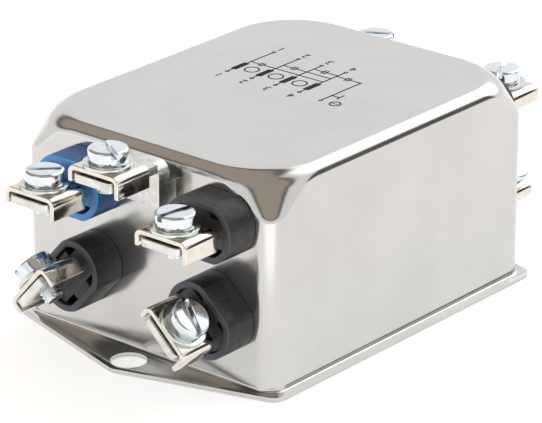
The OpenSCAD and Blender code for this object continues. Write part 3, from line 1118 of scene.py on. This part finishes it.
    def washer(self) -> Piece:
        """Makes a plain washer."""
        deselect()
        top = self.head_low - self.washer_gap
        share = self.washer_bore / self.washer_d
        bpy.ops.mesh.primitive_circle_add(vertices=96, radius=self.washer_d / 2, fill_type="NOTHING")
        piece = started("washer_master")
        with editing(piece):
            pick_all()
            shift((0, -self.reach, top))
            push((0, 0, 0))
            resize((share, share, 1), (0, -self.reach, top))
        thicken(piece, self.washer_t)
        soften(piece, 0.13, 3, 40)
        return piece

    def screw_head(self) -> Piece:
        """Makes a cheese head with a round top edge and a deep slot."""
        deselect()
        bpy.ops.mesh.primitive_circle_add(vertices=96, radius=self.head_d / 2, fill_type="NGON")
        head = started("head_master")
        top = self.head_low + self.head_h
        with editing(head):
            pick_all()
            shift((0, 0, self.head_low))
            push((0, 0, self.head_h))
            pick_edges(head, lambda e: all(p.co.z > top - 0.01 for p in e.verts))
            bpy.ops.mesh.bevel(offset=0.5, segments=6)
        face_out(head)
        x, y = self.head_d / 2 + 1, self.slot_w / 2
        carve(head, block("slot_cutter", (-x, -y, top - self.slot_depth), (x, y, top + self.slot_depth)))
        soften(head, 0.09, 2, 50)
        return head

    def thread(self) -> Piece:
        """Makes the threaded shank as one helix, cut flat and closed at both ends."""
        core, crest = self.core_d / 2, self.crest_d / 2
        flank = ((core, 0.05), (crest, 0.31), (crest, 0.39), (core, 0.65), (core, 0.70))
        start = self.tip_low - self.pitch
        deselect()
        bpy.ops.mesh.primitive_plane_add(size=1)
        piece = started("thread_master")
        with editing(piece):
            pick_all()
            bpy.ops.mesh.merge(type="CENTER")
            shift((core, 0, start))
            for (x, z), (next_x, next_z) in zip(((core, 0.0), *flank), flank):
                push((next_x - x, 0, next_z - z))
        turns = math.ceil((self.head_low - start) / self.pitch) + 1
        modify(piece, "SCREW", angle=math.tau, screw_offset=self.pitch, iterations=turns, steps=28,
               render_steps=28, axis="Z", use_merge_vertices=True, merge_threshold=0.001)
        with editing(piece):
            pick_all()
            bpy.ops.mesh.remove_doubles(threshold=0.002)
            cut_away((0, 0, self.tip_low), (0, 0, -1), fill=True)
            cut_away((0, 0, self.head_low), (0, 0, 1), fill=True)
            pick_points(piece, lambda p: p.z < self.tip_low + 0.12)
            resize((0.82, 0.82, 1), (0, 0, self.tip_low))
        face_out(piece)
        return piece

    def bracket(self) -> Piece:
        """Makes the earth clamp's bracket: a tab with one side bent down to a leg, and a front plate."""
        right, radius, depth, gap = self.leg_x, self.leg_bend_r, self.leg_depth, self.wall_gap
        level, thick = self.tab_level, self.tab_t
        foot, edge = level - thick - self.leg_drop, right - radius
        flat = self.plate("bracket_master", -gap)
        strip = sheet("bracket_strip", (edge + self.strip_lap, depth - gap),
                      ((edge - self.strip_lap) / 2, -(depth + gap) / 2, level))
        with editing(strip):
            self.bend_down(strip, 1, edge, radius, level, foot)
        thicken(strip, thick)
        leg = block("bracket_leg", (right - thick, -depth, foot), (right, 0, level - radius - gap))
        front = block("bracket_front", (-right, -depth, foot), (right - thick / 2, thick - depth, level - thick / 2))
        carve(flat, block("corner_cutter", (edge - 0.4, -depth, -3), (8, 2, 3)))
        piece = fuse([flat, strip, leg, front])
        self.bore(piece)
        soften(piece, 0.2, 3, 40)
        return piece

    def dress(self, piece: Piece, coat: Coat, body: str, node: str, slot: str) -> None:
        """Finishes a piece, gives it its body and hides the node it stands for.

        Args:
            piece: The piece, in place.
            coat: Its finish.
            body: The body it rides on.
            node: The solid it stands for.
            slot: The record's material slot; not used.
        """
        smooth(piece)
        coat.put_on(piece)
        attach(piece, body)
        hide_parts(node)
        LOG.info("made %s", piece.name)

    def build(self) -> None:
        """Makes the masters, copies them to their places and dresses them."""
        insulator, tab, bracket = self.insulator(), self.tab(), self.bracket()
        saddle, washer = self.saddle(), self.washer()
        screw = weld([self.screw_head(), self.thread()], "screw_master")
        upright = Matrix.Rotation(math.pi / 2, 4, "X")
        shank = Matrix.Translation((0, -self.reach, 0))
        for spot in self.spots():
            key, place, clamp = spot.key, spot.place(), f"clamp_{spot.key}"
            turned = place @ shank @ Matrix.Rotation(math.radians(spot.slot_turn), 4, "Z")
            slot, coat = ("blue_plastic", Coat.BLUE) if key.endswith("_n") else ("black_plastic", Coat.BLACK)
            if key == "earth":
                rows = [(bracket, "earth_bracket_sheet", place, Coat.TIN, HOUSING, "earth_bracket", "tinned_brass")]
            else:
                rows = [(insulator, f"insulator_body_{key}", place @ upright, coat, HOUSING,
                         f"insulator_{key}", slot),
                        (tab, f"contact_tab_{key}", place, Coat.TIN, HOUSING, f"tab_{key}", "tinned_brass")]
            rows += [(saddle, f"saddle_clamp_{key}", place, Coat.NICKEL, clamp, f"saddle_{key}", "nickel_steel"),
                     (washer, f"plain_washer_{key}", place, Coat.WASHER, clamp, f"washer_{key}", "zinc_steel"),
                     (screw, f"clamp_screw_{key}", turned, Coat.ZINC, f"screw_{key}", f"screw_{key}", "zinc_steel")]
            for master, name, where, finish, *rest in rows:
                self.dress(copied(master, name, where), finish, *rest)
        for master in (insulator, tab, bracket, saddle, washer, screw):
            drop(master)


@dataclass(frozen=True)
class Flag:
    """A flag or panel of the studio, seen in the metal: its direction, reach and soft edge in degrees."""

    aim: Triple
    reach: float
    edge: float
    colour: Triple


def facing(aim: Vector, back: Vector, distance: float) -> Matrix:
    """Gives the place of a camera or lamp that looks at a point from a distance in metres."""
    return Matrix.Translation(aim + back * distance) @ back.to_track_quat("Z", "Y").to_matrix().to_4x4()


@dataclass
class Studio:
    """Camera, floor, world and lamps."""

    lamp_aim: Triple = (-0.60, -0.78, 0.17)
    lamp_distance: float = 1.6
    lamp_size: Pair = (1.5, 0.5)
    lamp_power: float = 9.0
    flags: tuple[Flag, ...] = (
        Flag((0.10, 0.76, 0.64), 30.0, 2.5, (1.7, 1.7, 1.7)),
        Flag((-0.50, -0.15, 0.85), 43.0, 2.5, (0.05, 0.035, 0.03)),
        Flag((0.46, -0.39, 0.80), 36.0, 2.5, (0.05, 0.035, 0.03)),
        Flag((-0.55, -0.67, 0.51), 12.0, 2.5, (0.10, 0.08, 0.06)),
        Flag((-0.50, -0.15, 0.85), 35.5, 4.0, (0.42, 0.36, 0.30)),
        Flag((0.46, -0.39, 0.80), 28.5, 4.0, (0.44, 0.38, 0.32)),
        Flag((-0.10, -0.32, 0.94), 30.0, 4.0, (0.43, 0.37, 0.31)),
        Flag((0.66, 0.71, 0.14), 17.0, 1.5, (0.075, 0.068, 0.062)),
    )
    azimuth: float = 40.05
    elevation: float = 22.17
    distance: float = 650.0
    aim: Triple = (-1.99, 0.35, 15.52)
    focal: float = 238.7
    floor_glow: float = 0.66
    # painted pool of light: the floor glows brighter around this point, in front of the can's near corner
    pool: Triple = (98.0, -104.0, 0.0)
    pool_r: float = 60.0
    pool_glow: float = 1.2
    room: float = 0.97

    def back(self) -> Vector:
        """Gives the direction from the object to the camera."""
        a, e = math.radians(self.azimuth), math.radians(self.elevation)
        return Vector((math.sin(a) * math.cos(e), -math.cos(a) * math.cos(e), math.sin(e)))

    def camera(self) -> None:
        """Sets up the camera at the photograph's angle."""
        data = bpy.data.cameras.new("camera")
        data.sensor_fit = "HORIZONTAL"
        data.sensor_width = 36.0
        data.lens = self.focal
        data.clip_start, data.clip_end = 0.05, 5.0
        camera = bpy.data.objects.new("camera", data)
        camera.matrix_world = facing(Vector(self.aim) * MM, self.back(), self.distance * MM)
        bpy.context.scene.collection.objects.link(camera)
        bpy.context.scene.camera = camera

    def floor(self) -> None:
        """Lays the pale floor."""
        deselect()
        bpy.ops.mesh.primitive_plane_add(size=6.0, location=(0, 0, 0))
        floor = started("floor")
        desk = NodeDesk(bpy.data.materials.new("floor_white"))
        rays = desk.add("LightPath").outputs
        seen = desk.add("Math", rays["Is Camera Ray"], rays["Is Glossy Ray"], operation="MAXIMUM")
        seen = desk.add("Math", seen.outputs[0], rays["Is Transmission Ray"], operation="MAXIMUM")
        # the floor's glow, with a painted pool of light near the can
        level = desk.add("Math", seen.outputs[0], self.glow(desk), operation="MULTIPLY")
        paper = desk.add("BsdfDiffuse", Color=(0.72, 0.72, 0.72, 1.0))
        shine = desk.add("Emission", Color=(1.0, 1.0, 1.0, 1.0), Strength=level.outputs[0])
        both = desk.add("AddShader", paper.outputs[0], shine.outputs[0])
        floor.data.materials.append(desk.close(both.outputs[0]))

    def glow(self, desk: NodeDesk) -> bpy.types.NodeSocket:
        """Gives the floor's own even glow, with a painted pool of light, a brighter glow in front of the near corner.
        """
        away = desk.add("VectorMath", desk.own(), tuple(v * MM for v in self.pool), operation="DISTANCE")
        return desk.spread(away.outputs["Value"], self.pool_glow, self.floor_glow,
                           self.pool_r * MM * 0.6, self.pool_r * MM)

    def world(self) -> None:
        """Fills the room with an even pale light, with the dark flags that give the metal its edges."""
        world = bpy.data.worlds.new("room")
        bpy.context.scene.world = world
        desk = NodeDesk(world)
        where = desk.add("TexCoord").outputs["Generated"]
        light = (self.room, self.room, self.room)
        for flag in self.flags:
            near = desk.add("VectorMath", where, Vector(flag.aim).normalized(), operation="DOT_PRODUCT")
            start, end = (math.cos(math.radians(flag.reach + side * flag.edge)) for side in (1, -1))
            light = desk.blend(desk.spread(near.outputs["Value"], 0.0, 1.0, start, end, "SMOOTHSTEP"),
                               light, flag.colour)
        seen = desk.blend(desk.add("LightPath").outputs["Is Camera Ray"], light, (1.0, 1.0, 1.0))
        desk.close(desk.add("Background", Color=seen, Strength=1.0).outputs[0], "OutputWorld")

    def lamp(self) -> None:
        """Hangs the soft lamp, which the metal doesn't mirror."""
        data = bpy.data.lights.new("lamp_front_left", "AREA")
        data.shape = "RECTANGLE"
        data.size, data.size_y = self.lamp_size
        data.energy = self.lamp_power
        light = bpy.data.objects.new("lamp_front_left", data)
        light.matrix_world = facing(Vector(), Vector(self.lamp_aim).normalized(), self.lamp_distance)
        light.visible_glossy = False
        bpy.context.scene.collection.objects.link(light)

    def build(self) -> None:
        """Sets up the whole studio."""
        bpy.context.scene.view_settings.view_transform = "Standard"
        self.camera()
        self.floor()
        self.world()
        self.lamp()


def main() -> None:
    """Builds the filter and the studio, in order."""
    logging.basicConfig(level=logging.INFO, format="%(message)s")
    Studio().build()
    DrawnCan().build()
    TopPrint().build()
    Inside().build()
    Terminals().build()


if __name__ == "__main__":
    main()
